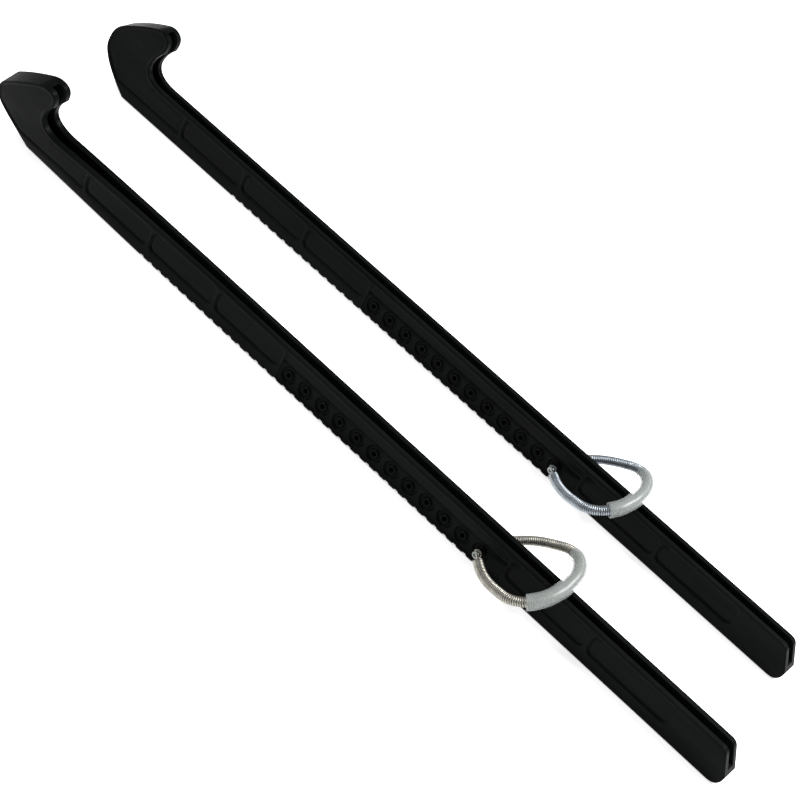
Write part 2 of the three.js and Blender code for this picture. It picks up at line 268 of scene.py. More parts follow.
def nose_line(steps):
    """From the back of the hook's tip over the slope and round the nose to the foot."""
    return joined(
        bezier([TIP_BACK, TIP_TOP_HANDLE, TIP_CROWN], steps),
        bezier([TIP_CROWN, SLOPE_TOP_HANDLE, SLOPE_TOP], steps),
        bezier([SLOPE_TOP, SLOPE_HANDLE, SLOPE_FOOT], steps),
        bezier([SLOPE_FOOT, FOREHEAD_HANDLE, NOSE_FRONT], steps),
        bezier([NOSE_FRONT, CHIN_HANDLE, HOOK_FOOT], steps),
    )


def throat_line(steps):
    """From the channel's top edge up the throat to the back of the hook's tip."""
    return joined(
        bezier([THROAT_START, THROAT_FOOT_HANDLE, THROAT_RISE_HANDLE, THROAT_DEEP], steps),
        bezier([THROAT_DEEP, THROAT_TOP_HANDLE, TIP_BACK], steps),
    )


def guard_lines():
    """The side view's edges: the closed edge, the edge that the slot opens, and the slot's floor."""
    sole = sole_line()
    rear_x = GUARD_LENGTH - REAR_CUT
    end = bezier([(rear_x, 0), (GUARD_LENGTH, 0), (GUARD_LENGTH, REAR_CUT_HEIGHT)], 12)
    share = (SLOT_FLOOR - REAR_CUT_HEIGHT) / (CHANNEL_HEIGHT - REAR_CUT_HEIGHT)
    slot_end = (GUARD_LENGTH - REAR_CUT * share, SLOT_FLOOR)
    nose = nose_line(CURVE_STEPS)
    slope_top = 2 * CURVE_STEPS
    inner = moved_left(nose, NOSE_WALL)[::-1]
    inner = inner[inner[:, 1] < SLOPE_FOOT[1]]
    floor_start = np.interp(SLOT_FLOOR, inner[:, 1], inner[:, 0])
    inner = inner[inner[:, 1] > SLOT_FLOOR]
    slope = np.subtract(SLOPE_TOP, SLOPE_FOOT)
    slope = slope / np.linalg.norm(slope)
    ray = inner[-1] + slope * np.linspace(0, 40, 4001)[:, None]
    silhouette = np.concatenate([nose, sole, throat_line(CURVE_STEPS)])
    ray = ray[inside(ray, silhouette)]
    mouth = ray[-1]
    tip = respaced(nose[:slope_top + 1], 0.5)
    cut = np.linalg.norm(tip - mouth, axis=1).argmin()
    tip[cut] = mouth
    front = np.array([[floor_start, SLOT_FLOOR]])
    slot_floor = joined(
        respaced([slot_end, front[0]], FLOOR_STEP),
        respaced(np.concatenate([front, inner, mouth[None]]), 0.8),
    )
    closed = joined(
        tip[cut:], respaced(nose[slope_top:], FINE_STEP), sole, end,
        respaced([end[-1], slot_end], FINE_STEP),
    )
    corner = np.array((rear_x, CHANNEL_HEIGHT))
    down = np.array(slot_end) - corner
    before = corner + down * REAR_CORNER / np.linalg.norm(down)
    rounded = bezier([before, corner, corner - (REAR_CORNER, 0)], 8)
    opened = joined(
        respaced([slot_end, before], FINE_STEP), rounded,
        respaced([rounded[-1], THROAT_START], TOP_STEP),
        respaced(throat_line(CURVE_STEPS), FINE_STEP), tip[:cut + 1],
    )
    return closed, opened, slot_floor


closed_edge, opened_edge, slot_floor_edge = guard_lines()
guard_outline = np.concatenate([closed_edge, opened_edge[1:-1]])


# ---------------------------------------------------------------- relief of a guard's side


def panel_spans():
    """Where each long panel starts and ends: three ahead of the studs and two behind them."""
    pitch = (STUD_START - FIRST_PANEL) / 3
    spans = [(FIRST_PANEL + i * pitch, FIRST_PANEL + (i + 1) * pitch - PANEL_RIB) for i in range(3)]
    for start in (STUD_END, STUD_END + REAR_PANEL):
        spans.append((start + PANEL_RIB, start + REAR_PANEL))
    return spans


def field_depth(points, low, high, base, top, corner):
    """How far inside a field with rounded corners each point lies; less than 0 is outside."""
    x, z = points.T
    side = np.minimum(x - low, high - x)
    end = np.minimum(z - base, top - z)
    round_off = corner - np.hypot(corner - side, corner - end)
    return np.where((side < corner) & (end < corner), round_off, np.minimum(side, end))


def hook_field():
    """The sunk field of the hook's side, one rim in from its edges."""
    rear = FIRST_PANEL - PANEL_RIB
    front = moved_left(nose_line(14), RIM_HEIGHT)[2:]
    front = front[front[:, 1] > PANEL_BASE]
    foot = front[-1] * [1, 0] + [1.2, PANEL_BASE]
    throat = moved_left(throat_line(14), RIM_HEIGHT)[:-2]
    return np.concatenate([[(rear, PANEL_BASE), (rear, PANEL_TOP)], throat, front, [foot]])


hook_outline = hook_field()
hook_ring = np.concatenate([hook_outline, hook_outline[:1]])
hole_places = [FIRST_HOLE + i * HOLE_PITCH for i in range(HOLE_COUNT)]


def side_face(points):
    """How far from the guard's middle its side lies at each point of the side view."""
    x, z = points.T
    border = np.concatenate([guard_outline, guard_outline[:1]])
    edge = np.clip(edge_distance(points, border), 0, EDGE_ROUND)
    y = RIM_HALF - EDGE_ROUND + np.sqrt(EDGE_ROUND ** 2 - (EDGE_ROUND - edge) ** 2)
    for low, high in panel_spans():
        deep = field_depth(points, low, high, PANEL_BASE, PANEL_TOP, PANEL_CORNER)
        y -= PANEL_SINK * eased(deep / RELIEF_FLANK)
        toe_end = bump(deep - GROOVE_INSET, 0.6) * np.clip((low + 5 - x) / 3, 0, 1)
        lower = bump(deep - GROOVE_INSET, 0.5) * np.clip((PANEL_BASE + 4 - z) / 2, 0, 1)
        y -= GROOVE_SINK * np.maximum(toe_end, 0.7 * lower)
    deep = edge_distance(points, hook_ring) * np.where(inside(points, hook_outline), 1, -1)
    y -= PANEL_SINK * eased(deep / HOOK_FLANK)
    y -= HOOK_GROOVE_SINK * bump(deep - HOOK_GROOVE_INSET, 0.5) * (z < PANEL_TOP)
    band = field_depth(points, STUD_START, STUD_END, STUD_TOP, PANEL_TOP, BAND_CORNER)
    y -= PANEL_SINK * eased(band / RELIEF_FLANK)
    stud = field_depth(points, STUD_START, STUD_END, STUD_BASE, STUD_TOP, STUD_CORNER)
    y -= (PANEL_SINK + STUD_SINK) * eased(stud / RELIEF_FLANK)
    # A deeper groove runs under the stud field's top edge.
    y -= 0.5 * bump(z - STUD_TOP + GROOVE_INSET, 0.8) * eased(stud / RELIEF_FLANK)
    for place in hole_places:
        r = np.hypot(x - place, z - HOLE_HEIGHT)
        near = r < POCKET_RADIUS + 1
        pocket = eased((r - RING_RADIUS) / RELIEF_FLANK) * eased((POCKET_RADIUS - r) / 0.35)
        y -= near * POCKET_SINK * pocket
        y -= near * 0.3 * (1 - eased((r - HOLE_RADIUS - 0.2) / 0.3))
    return y


def slot_face(points):
    """How far from the guard's middle the slot's wall lies; it opens a little at its edges."""
    edge = np.clip(edge_distance(points, opened_edge), 0, LIP_ROUND)
    return SLOT_HALF + LIP_ROUND - np.sqrt(LIP_ROUND ** 2 - (LIP_ROUND - edge) ** 2)


# ---------------------------------------------------------------- meshes


def spread_points(outline, lines, spacing):
    """Points to mesh inside an outline: along the lines, and evenly between them."""
    kept = [tuple(p) for p in outline]
    taken = {(round(x / SAME_PLACE), round(z / SAME_PLACE)) for x, z in kept}
    for line in lines:
        line = line[inside(line, outline)]
        for x, z in line:
            cell = (round(x / SAME_PLACE), round(z / SAME_PLACE))
            if cell not in taken:
                taken.add(cell)
                kept.append((x, z))
    tree = KDTree(len(kept))
    for i, (x, z) in enumerate(kept):
        tree.insert((x, z, 0), i)
    tree.balance()
    low, high = outline.min(0), outline.max(0)
    row_share = 0.87            # the height of a triangle with equal sides, as a share of a side
    rows = np.arange(low[1], high[1], spacing * row_share)
    grid = [(x + (k % 2) * spacing / 2, z) for k, z in enumerate(rows)
            for x in np.arange(low[0], high[0], spacing)]
    grid = np.array(grid)[inside(np.array(grid), outline)]
    kept += [(x, z) for x, z in grid if tree.find((x, z, 0))[2] > spacing * 0.5]
    return kept


def meshed(outline, lines, spacing, holes=()):
    """A triangle mesh of an outline in the side view, with open round holes."""
    points = spread_points(outline, lines, spacing)
    count = len(outline)
    edges = [(i, (i + 1) % count) for i in range(count)]
    within = 1e-5
    found = delaunay_2d_cdt([Vector(p) for p in points], edges, [], 0, within)
    places = np.array([tuple(v) for v in found[0]])
    triangles = np.array([f for f in found[2] if len(f) == 3])
    middles = places[triangles].mean(1)
    keep = inside(middles, outline)
    for x, z, radius in holes:
        keep &= np.hypot(middles[:, 0] - x, middles[:, 1] - z) > radius * 0.96
    return places, triangles[keep]


def ring(x, z, radius, count):
    """Even points round a circle in the side view."""
    turn = np.linspace(0, 2 * math.pi, count, endpoint=False)
    return np.stack([x + radius * np.cos(turn), z + radius * np.sin(turn)], axis=1)


def relief_lines():
    """Lines along every edge of the side's relief, where its mesh must be fine."""
    lines = [moved_left(guard_outline, d, closed=True) for d in (0.06, 0.18, 0.36, 0.62)]
    fields = [(low, high, PANEL_BASE, PANEL_TOP, PANEL_CORNER) for low, high in panel_spans()]
    fields.append((STUD_START, STUD_END, STUD_BASE, STUD_TOP, STUD_CORNER))
    fields.append((STUD_START, STUD_END, STUD_TOP, PANEL_TOP, BAND_CORNER))
    for low, high, base, top, corner in fields:
        border = np.concatenate([
            bezier([(low, base + corner), (low, base), (low + corner, base)], 8),
            bezier([(high - corner, base), (high, base), (high, base + corner)], 8),
            bezier([(high, top - corner), (high, top), (high - corner, top)], 8),
            bezier([(low + corner, top), (low, top), (low, top - corner)], 8),
        ])
        border = respaced(np.concatenate([border, border[:1]]), FINE_STEP)
        lines += [moved_left(border[:-1], d, closed=True) for d in (-0.3, -0.1, 0.1, 0.3, 0.7)]
        lines.append(moved_left(border[:-1], 1.2, closed=True))
    hook = respaced(hook_ring, FINE_STEP)
    insets = (-HOOK_FLANK, -0.12, 0.12, HOOK_FLANK, HOOK_GROOVE_INSET)
    lines += [moved_left(hook[:-1], d, closed=True) for d in insets]
    # Rings of points on the hole's edge, the stud's ring and the pocket's floor and wall
    for x in hole_places:
        for radii, count in (((HOLE_RADIUS, 1.32, 1.5, 1.75), HOLE_SIDES), ((2.1,), 28),
                             ((2.3, 2.5, 2.7, 3.3), 32), ((3.85, 4.1, 4.3, 4.55), 40)):
            lines += [ring(x, HOLE_HEIGHT, radius, count) for radius in radii]
    return lines


def guard_mesh_data():
    """One guard's skin: both sides, both slot walls, and the strips that join them."""
    verts, faces, painted_shade = [], [], []

    def put(points, y, sunk=None):
        start = len(verts)
        painted_shade.extend(np.zeros(len(points)) if sunk is None else sunk)
        verts.extend((x, across, z) for (x, z), across in zip(points, y))
        return start

    def strip(line, rows, loop=False):
        starts = [put(line, row) for row in rows]
        count = len(line)
        for a, b in zip(starts, starts[1:]):
            for i in range(count if loop else count - 1):
                j = (i + 1) % count
                faces.append((a + i, a + j, b + j, b + i))

    holes = [(x, HOLE_HEIGHT, HOLE_RADIUS) for x in hole_places]
    side_points, side_triangles = meshed(guard_outline, relief_lines(), SIDE_SPACING, holes)
    side_y = side_face(side_points)
    slot_outline = np.concatenate([opened_edge, slot_floor_edge[::-1][1:-1]])
    lip_lines = [moved_left(opened_edge, d) for d in (0.04, 0.13, 0.35)]
    slot_points, slot_triangles = meshed(slot_outline, lip_lines, SLOT_SPACING)
    slot_y = slot_face(slot_points)
    for points, y, triangles in ((side_points, side_y, side_triangles),
                                 (slot_points, slot_y, slot_triangles)):
        # How much shade is painted at each point: from the proud faces at 0 to the deepest recesses at 1;
        # the slot's walls have none.
        sunk = np.clip((RIM_HALF - 0.15 - y) / 1.1, 0, 1) if y is side_y else None
        for side in (-1, 1):
            start = put(points, side * y, sunk)
            faces.extend(tuple(int(i) + start for i in t) for t in triangles)

    closed_y = side_face(closed_edge)
    mouth = np.full(len(closed_edge), SLOT_HALF + LIP_ROUND)
    strip(closed_edge, (-closed_y, -mouth, mouth, closed_y))
    outer, inner = side_face(opened_edge), slot_face(opened_edge)
    middle = (outer + inner) / 2
    for side in (-1, 1):
        strip(opened_edge, (side * outer, side * middle, side * inner))
    floor = slot_face(slot_floor_edge)
    strip(slot_floor_edge, (-floor, floor))
    for x in hole_places:
        bore = ring(x, HOLE_HEIGHT, HOLE_RADIUS, HOLE_SIDES)
        y = side_face(bore)
        strip(bore, (-y, y), loop=True)
    return np.array(verts), faces, np.array(painted_shade)


def leaned(points):
    """Turns the toe end about the near edge of the sole, more and more towards the nose."""
    x, y, z = points.T
    share = np.clip((TOE_LEAN_LENGTH - x) / TOE_LEAN_LENGTH, 0, 1)
    angle = TOE_LEAN * share ** TOE_LEAN_POWER
    across = y + RIM_HALF
    side = across * np.cos(angle) - z * np.sin(angle) - RIM_HALF + TOE_SET * share ** TOE_LEAN_POWER
    return np.stack([x, side, across * np.sin(angle) + z * np.cos(angle)], axis=1)


def solid(name, points, faces, place, material, sharp=38, painted_shade=None):
    """A finished piece from points in millimetres; its place is in metres, sharp in degrees."""
    mesh = bpy.data.meshes.new(name)
    mesh.from_pydata([tuple(p) for p in points * MM + np.array(place)], [], faces)
    # Each point's depth is kept so that the material can paint shade into the recesses.
    if painted_shade is not None:
        mesh.attributes.new("painted_shade", "FLOAT", "POINT").data.foreach_set("value", painted_shade)
    work = bmesh.new()
    work.from_mesh(mesh)
    bmesh.ops.remove_doubles(work, verts=work.verts, dist=SAME_VERTEX)
    bmesh.ops.recalc_face_normals(work, faces=work.faces)
    open_edges = sum(1 for edge in work.edges if not edge.is_manifold)
    if open_edges:
        print(name, "has open edges:", open_edges)
    work.to_mesh(mesh)
    work.free()
    mesh.shade_smooth()
    mesh.set_sharp_from_angle(angle=math.radians(sharp))
    piece = bpy.data.objects.new(name, mesh)
    bpy.context.scene.collection.objects.link(piece)
    mesh.materials.append(material)
    return piece


def turned(profile, sides):
    """A profile of (radius, y) pairs turned about the y axis."""
    points, faces = [], []
    turn = np.linspace(0, 2 * math.pi, sides, endpoint=False)
    for radius, y in profile:
        points += [(radius * math.cos(t), y, radius * math.sin(t)) for t in turn]
    for row in range(len(profile) - 1):
        for i in range(sides):
            j = (i + 1) % sides
            a, b = row * sides, (row + 1) * sides
            faces.append((a + i, a + j, b + j, b + i))
    return np.array(points), faces


# ---------------------------------------------------------------- materials


def linear(colour):
    """An sRGB hex colour as linear values with alpha."""
    parts = [int(colour[i:i + 2], 16) / 255 for i in (1, 3, 5)]
    return [c / 12.92 if c <= 0.04045 else ((c + 0.055) / 1.055) ** 2.4 for c in parts] + [1]


def add(tree, kind, inputs=None, **settings):
    """A node with its settings, its socket values and its links."""
    made = tree.nodes.new(kind)
    for name, value in settings.items():
        setattr(made, name, value)
    for socket, value in (inputs or {}).items():
        if isinstance(value, bpy.types.NodeSocket):
            tree.links.new(value, made.inputs[socket])
        else:
            made.inputs[socket].default_value = value
    return made


def new_material(name):
    material = bpy.data.materials.new(name)
    material.use_nodes = True
    material.node_tree.nodes.clear()
    return material, material.node_tree


def finish_material(tree, shader):
    output = add(tree, "ShaderNodeOutputMaterial")
    tree.links.new(shader.outputs[0], output.inputs["Surface"])


def two_tones(tree, value, low, high, dark, pale):
    """A blend of two hex colours as a value goes from low to high."""
    tone = add(tree, "ShaderNodeValToRGB", {"Fac": value})
    for element, position, colour in zip(tone.color_ramp.elements, (low, high), (dark, pale)):
        element.position = position
        element.color = linear(colour)
    return tone.outputs["Color"]


def noise(tree, place, size, detail):
    """A noise whose marks are about this many millimetres across."""
    made = add(tree, "ShaderNodeTexNoise", {"Vector": place, "Scale": 1 / (size * MM), "Detail": detail})
    return made.outputs["Fac"]


def spread(tree, value, low, high):
    """A noise's usual values spread from low to high."""
    return add(tree, "ShaderNodeMapRange", {
        "Value": value, "From Min": 0.3, "From Max": 0.7, "To Min": low, "To Max": high,
    }).outputs["Result"]


def raised(tree, height, strength, distance, **inputs):
    """A bump of so many millimetres, over another normal if one is given."""
    return add(tree, "ShaderNodeBump", {
        "Height": height, "Strength": strength, "Distance": distance * MM, **inputs,
    }).outputs["Normal"]


def moulded_polymer():
    """Black injection-moulded polymer: a satin face with long soft flow marks and a fine grain, and shade
    painted into its recesses.
    """
    material, tree = new_material("satin black moulded polymer")
    place = add(tree, "ShaderNodeTexCoord").outputs["Object"]
    # Flow marks are about 6 mm high and ten times as long. The real grain of 0.1 mm is drawn at 0.5 mm.
    stretched = add(tree, "ShaderNodeMapping", {"Vector": place, "Scale": (0.1, 1, 1)}).outputs[0]
    flow = noise(tree, stretched, 6, 3.0)
    grain = noise(tree, place, 0.5, 2.0)
    scuffs = noise(tree, place, 22, 5.0)
    tone = two_tones(tree, flow, 0.35, 0.7, "#060807", "#0D100E")
    # Painted shade: the recesses are painted darker where less light reaches them, and the proud faces
    # keep the paler tone.
    painted_shade = add(tree, "ShaderNodeAttribute", attribute_name="painted_shade").outputs["Fac"]
    shaded = add(tree, "ShaderNodeMix", {0: painted_shade, 6: tone, 7: linear("#030404")}, data_type="RGBA")
    fine = raised(tree, grain, 0.25, 0.05)
    shader = add(tree, "ShaderNodeBsdfPrincipled", {
        "Base Color": shaded.outputs[2], "Roughness": spread(tree, scuffs, 0.34, 0.48),
        "Normal": raised(tree, flow, 0.3, 0.25, Normal=fine), "Specular IOR Level": 0.03, "IOR": 1.5,
    })
    finish_material(tree, shader)
    return material


def plated_steel(name, bright, dull, roughness):
    """Zinc-plated steel: a bright metal with a slight cloudy haze in its plating."""
    material, tree = new_material(name)
    place = add(tree, "ShaderNodeTexCoord").outputs["Object"]
    haze = noise(tree, place, 3, 4.0)
    draw = noise(tree, place, 0.3, 2.0)
    shader = add(tree, "ShaderNodeBsdfPrincipled", {
        "Base Color": two_tones(tree, haze, 0.3, 0.7, dull, bright),
        "Roughness": spread(tree, haze, roughness + 0.08, roughness),
        "Normal": raised(tree, draw, 0.2, 0.02), "Metallic": 1.0,
    })
    finish_material(tree, shader)
    return material


def milky_vinyl():
    """Clear soft vinyl gone milky: it is seen through, a little cloudy and slightly rippled."""
    material, tree = new_material("milky clear vinyl")
    place = add(tree, "ShaderNodeTexCoord").outputs["Object"]
    ripple = noise(tree, place, 3.5, 3.0)
    shader = add(tree, "ShaderNodeBsdfPrincipled", {
        "Base Color": linear("#A2A7A5"), "Roughness": 0.3, "IOR": 1.42, "Coat Weight": 0.2,
        "Coat Roughness": 0.3, "Alpha": spread(tree, ripple, 0.4, 0.46),
        "Normal": raised(tree, ripple, 0.06, 0.05),
    })
    finish_material(tree, shader)
    return material


def pale_board():
    """A pale matt board under the guards."""
    material, tree = new_material("pale matt board")
    shader = add(tree, "ShaderNodeBsdfPrincipled", {
        "Base Color": linear("#F6F6F6"), "Roughness": 0.9, "Specular IOR Level": 0.1,
        "Emission Color": linear("#FFFFFF"), "Emission Strength": 0.6,
    })
    finish_material(tree, shader)
    return material


polymer = moulded_polymer()
vinyl = milky_vinyl()
pin_metal = plated_steel("plated pin steel", "#A4A6A2", "#7C7F7C", 0.3)
wires = {
    "left": plated_steel("warm zinc-plated spring wire", "#9F9D93", "#82807A", 0.36),
    "right": plated_steel("bluish zinc-plated spring wire", "#979EA3", "#7A8187", 0.36),
}

# ---------------------------------------------------------------- spring path and coil


def loop_corners(roll):
    """The points that the bent spring's middle line follows, from the pin's head end."""
    sway = RIM_HALF * math.sin(roll)
    rise = CHANNEL_HEIGHT + SLEEVE_OUTER + 2 * MEET_GAP + sway - HOLE_HEIGHT
    tilt = math.asin(rise / LOOP_REACH)
    spread = LOOP_HALF_WIDTH - STRAND_START_WIDTH
    straight = LOOP_REACH - LOOP_REAR_RUN
    half = [
        (STRAND_START, STRAND_START_WIDTH), (0.28 * straight, STRAND_START_WIDTH + 0.34 * spread),
        (0.5 * straight, STRAND_START_WIDTH + 0.66 * spread),
        (0.76 * straight, STRAND_START_WIDTH + 0.9 * spread),
        (straight, LOOP_HALF_WIDTH), (LOOP_REACH - 0.52 * LOOP_REAR_RUN, 0.88 * LOOP_HALF_WIDTH),
        (LOOP_REACH - 0.14 * LOOP_REAR_RUN, 0.56 * LOOP_HALF_WIDTH), (LOOP_REACH, 0.2 * LOOP_HALF_WIDTH),
    ]
    corners = []
    for behind, across in [(b, -a) for b, a in half] + half[::-1]:
        rolled = across * math.sin(roll) * min(1, behind / STRAND_START_WIDTH)
        corners.append((
            behind * math.cos(tilt), across - LOOP_SIDE_SET * behind / LOOP_REACH,
            behind * math.sin(tilt) + rolled,
        ))
    return np.array(corners)


def smooth_path(corners, steps=16):
    """A smooth line through its corners, with even points."""
    ends = [2 * corners[0] - corners[1], *corners, 2 * corners[-1] - corners[-2]]
    points = []
    for p0, p1, p2, p3 in zip(ends, ends[1:], ends[2:], ends[3:]):
        d0, d1, d2 = (math.sqrt(np.linalg.norm(b - a)) for a, b in ((p0, p1), (p1, p2), (p2, p3)))
        m1 = ((p1 - p0) / d0 - (p2 - p0) / (d0 + d1) + (p2 - p1) / d1) * d1
        m2 = ((p2 - p1) / d1 - (p3 - p1) / (d1 + d2) + (p3 - p2) / d2) * d1
        for t in np.arange(steps) / steps:
            c2, c3 = 3 * (p2 - p1) - 2 * m1 - m2, 2 * (p1 - p2) + m1 + m2
            points.append(p1 + m1 * t + c2 * t ** 2 + c3 * t ** 3)
    return respaced(np.array(points + [corners[-1]]), FINE_STEP)


def coil_tree():
    """Winds a round wire closely along the path that it is given."""
    tree = bpy.data.node_groups.new("wound spring", "GeometryNodeTree")
    tree.interface.new_socket("Path", in_out="INPUT", socket_type="NodeSocketGeometry")
    for name, kind, value in (
        ("Turns", "NodeSocketInt", 150), ("Coil Radius", "NodeSocketFloat", 0.002),
        ("Wire Radius", "NodeSocketFloat", 0.0004), ("Steps per Turn", "NodeSocketInt", 24),
        ("Wire Sides", "NodeSocketInt", 12), ("Wire", "NodeSocketMaterial", None),
    ):
        socket = tree.interface.new_socket(name, in_out="INPUT", socket_type=kind)
        if value is not None:
            socket.default_value = value
    tree.interface.new_socket("Spring", in_out="OUTPUT", socket_type="NodeSocketGeometry")
    given = add(tree, "NodeGroupInput").outputs
    path = add(tree, "GeometryNodeMeshToCurve", {"Mesh": given["Path"]}).outputs[0]
    count = add(tree, "ShaderNodeMath", {0: given["Turns"], 1: given["Steps per Turn"]},
                operation="MULTIPLY").outputs[0]
    line = add(tree, "GeometryNodeMeshLine", {"Count": count}).outputs[0]
    index = add(tree, "GeometryNodeInputIndex").outputs[0]
    last = add(tree, "ShaderNodeMath", {0: count, 1: 1.0}, operation="SUBTRACT").outputs[0]
    share = add(tree, "ShaderNodeMath", {0: index, 1: last}, operation="DIVIDE").outputs[0]
    sampled = add(tree, "GeometryNodeSampleCurve", {"Curves": path, "Factor": share},
                  mode="FACTOR").outputs
    turned_by = add(tree, "ShaderNodeMath", {0: share, 1: given["Turns"]},
                    operation="MULTIPLY").outputs[0]
    angle = add(tree, "ShaderNodeMath", {0: turned_by, 1: 2 * math.pi}, operation="MULTIPLY").outputs[0]
    arm = add(tree, "ShaderNodeVectorRotate", {
        "Vector": sampled["Normal"], "Center": (0, 0, 0), "Axis": sampled["Tangent"], "Angle": angle,
    }).outputs[0]
    offset = add(tree, "ShaderNodeVectorMath", {0: arm, "Scale": given["Coil Radius"]},
                 operation="SCALE").outputs[0]
    place = add(tree, "ShaderNodeVectorMath", {0: sampled["Position"], 1: offset},
                operation="ADD").outputs[0]
    wound = add(tree, "GeometryNodeSetPosition", {"Geometry": line, "Position": place}).outputs[0]
    curve = add(tree, "GeometryNodeMeshToCurve", {"Mesh": wound}).outputs[0]
    profile = add(tree, "GeometryNodeCurvePrimitiveCircle", {
        "Resolution": given["Wire Sides"], "Radius": given["Wire Radius"],
    }).outputs[0]
    tube = add(tree, "GeometryNodeCurveToMesh", {
        "Curve": curve, "Profile Curve": profile, "Fill Caps": True,
    }).outputs[0]
    smooth = add(tree, "GeometryNodeSetShadeSmooth", {"Geometry": tube}).outputs[0]
    real = add(tree, "GeometryNodeRealizeInstances", {"Geometry": smooth}).outputs[0]
    coated = add(tree, "GeometryNodeSetMaterial", {"Geometry": real, "Material": given["Wire"]}).outputs[0]
    add(tree, "NodeGroupOutput", {"Spring": coated})
    return tree


spring_tree = coil_tree()


def wound_wire(name, path, place, material, **sizes):
    """A piece of wire wound along a path by the spring tree, as a plain mesh."""
    host_mesh = bpy.data.meshes.new(name + "_path")
    points = path * MM + np.array(place)
    host_mesh.from_pydata([tuple(p) for p in points], [(i, i + 1) for i in range(len(points) - 1)], [])
    host = bpy.data.objects.new(name + "_path", host_mesh)
    bpy.context.scene.collection.objects.link(host)
    modifier = host.modifiers.new("winding", "NODES")
    modifier.node_group = spring_tree
    given = {item.name: item.identifier for item in spring_tree.interface.items_tree
             if item.in_out == "INPUT"}
    modifier[given["Wire"]] = material
    for size, value in sizes.items():
        modifier[given[size.replace("_", " ")]] = value
    graph = bpy.context.evaluated_depsgraph_get()
    mesh = bpy.data.meshes.new_from_object(host.evaluated_get(graph), depsgraph=graph)
    bpy.data.objects.remove(host)
    mesh.name = name
    piece = bpy.data.objects.new(name, mesh)
    bpy.context.scene.collection.objects.link(piece)
    return piece


def swept(path, sections):
    """A closed skin through rings along a path; a section is a place on the path and a radius."""
    run = np.concatenate([[0], np.cumsum(np.linalg.norm(np.diff(path, axis=0), axis=1))])
    sides = SLEEVE_SIDES
    turn = np.linspace(0, 2 * math.pi, sides, endpoint=False)
    points, faces = [], []
    for share, radius in sections:
        at = share * run[-1]
        middle = np.array([np.interp(at, run, path[:, k]) for k in range(3)])
        ahead = np.array([np.interp(at + 0.5, run, path[:, k]) for k in range(3)])
        behind = np.array([np.interp(at - 0.5, run, path[:, k]) for k in range(3)])
        along = (ahead - behind) / np.linalg.norm(ahead - behind)
        level = np.cross(along, (0, 0, 1))
        level /= np.linalg.norm(level)
        rise = np.cross(level, along)
        # The loose sleeve hangs on the spring and is pressed a little flat along its length.
        flat = 1 + 0.02 * math.sin(share * 43) + 0.012 * math.sin(share * 97)
        for t in turn:
            points.append(middle - (0, 0, SLEEVE_SAG) + radius * (
                level * math.cos(t) * flat + rise * math.sin(t) / flat))
    rows = len(sections)
    for row in range(rows):
        a, b = row * sides, (row + 1) % rows * sides
        for i in range(sides):
            j = (i + 1) % sides
            faces.append((a + i, a + j, b + j, b + i))
    return np.array(points), faces


# ---------------------------------------------------------------- making the pieces

guard_points, guard_faces, guard_painted_shade = guard_mesh_data()


def pin_profile():
    """A pin with a hollow rivet head, from the middle of the hollow to the plain end."""
    head = -HEAD_FACE - PIN_HEAD_THICKNESS
    rear = HEAD_FACE + PIN_TAIL
    return [
        (0, head + 0.75), (0.72, head + 0.7), (0.85, head + 0.3), (0.95, head + 0.06), (1.1, head - 0.02),
        (1.5, head + 0.04), (1.75, head + 0.2), (1.87, head + 0.45), (1.9, head + 0.7),
        (1.9, -HEAD_FACE - 0.08), (1.82, -HEAD_FACE), (0.9, -HEAD_FACE), (0.9, rear - 0.15),
        (0.75, rear), (0, rear),
    ]


def cap_profile():
    """A domed cap pressed on to the pin's plain end."""
    outer = HEAD_FACE + PIN_TAIL + MEET_GAP + CAP_FLOOR
    return [
        (1.2, HEAD_FACE), (1.82, HEAD_FACE), (1.9, HEAD_FACE + 0.08), (1.9, outer - CAP_FLOOR),
        (1.84, outer - 0.35), (1.65, outer - 0.15), (1.2, outer - 0.03), (0.5, outer), (0, outer),
        (0, outer - CAP_FLOOR), (1.2, outer - CAP_FLOOR), (1.2, HEAD_FACE),
    ]


def eye_path(side, toward):
    """Nearly two turns of wire about the pin, then a short leg out to where the coil starts."""
    low = EYE_FACE + EYE_WIRE_RADIUS + EYE_SPARE
    high = EYE_FACE + EYE_THICKNESS - EYE_WIRE_RADIUS - EYE_SPARE
    turn = np.linspace(0, 1, 60)
    out = np.array([toward[0], toward[2]]) / math.hypot(toward[0], toward[2])
    lead = math.atan2(out[1], out[0]) + math.pi / 2
    angle = lead - (1 - turn) * 2 * EYE_TURNS * math.pi
    y = np.interp(turn, [0, 1], [low, high])
    loops = np.stack([EYE_RADIUS * np.cos(angle), side * y, EYE_RADIUS * np.sin(angle)], axis=1)
    heading = np.array([-math.sin(lead), 0, math.cos(lead)]) * -1
    reach = np.linalg.norm(toward - loops[-1])
    leg = bezier([loops[-1], loops[-1] - heading * 0.35 * reach, toward], 14)
    return np.concatenate([loops, leg[1:]])


def round_wire(path, radius, sides=EYE_WIRE_SIDES):
    """A round wire along a path, closed at its ends."""
    along = np.gradient(path, axis=0)
    along /= np.linalg.norm(along, axis=1, keepdims=True)
    up = np.cross(along[0], (0.3, 1, 0.2))
    turn = np.linspace(0, 2 * math.pi, sides, endpoint=False)
    points, faces = [], []
    for middle, ahead in zip(path, along):
        up = up - ahead * np.dot(up, ahead)
        up /= np.linalg.norm(up)
        side = np.cross(ahead, up)
        points += [middle + radius * (up * math.cos(t) + side * math.sin(t)) for t in turn]
    for row in range(len(path) - 1):
        for i in range(sides):
            j = (i + 1) % sides
            a, b = row * sides, (row + 1) * sides
            faces.append((a + i, a + j, b + j, b + i))
    faces.append(tuple(range(sides)))
    faces.append(tuple(range((len(path) - 1) * sides, len(path) * sides)))
    return np.array(points), faces


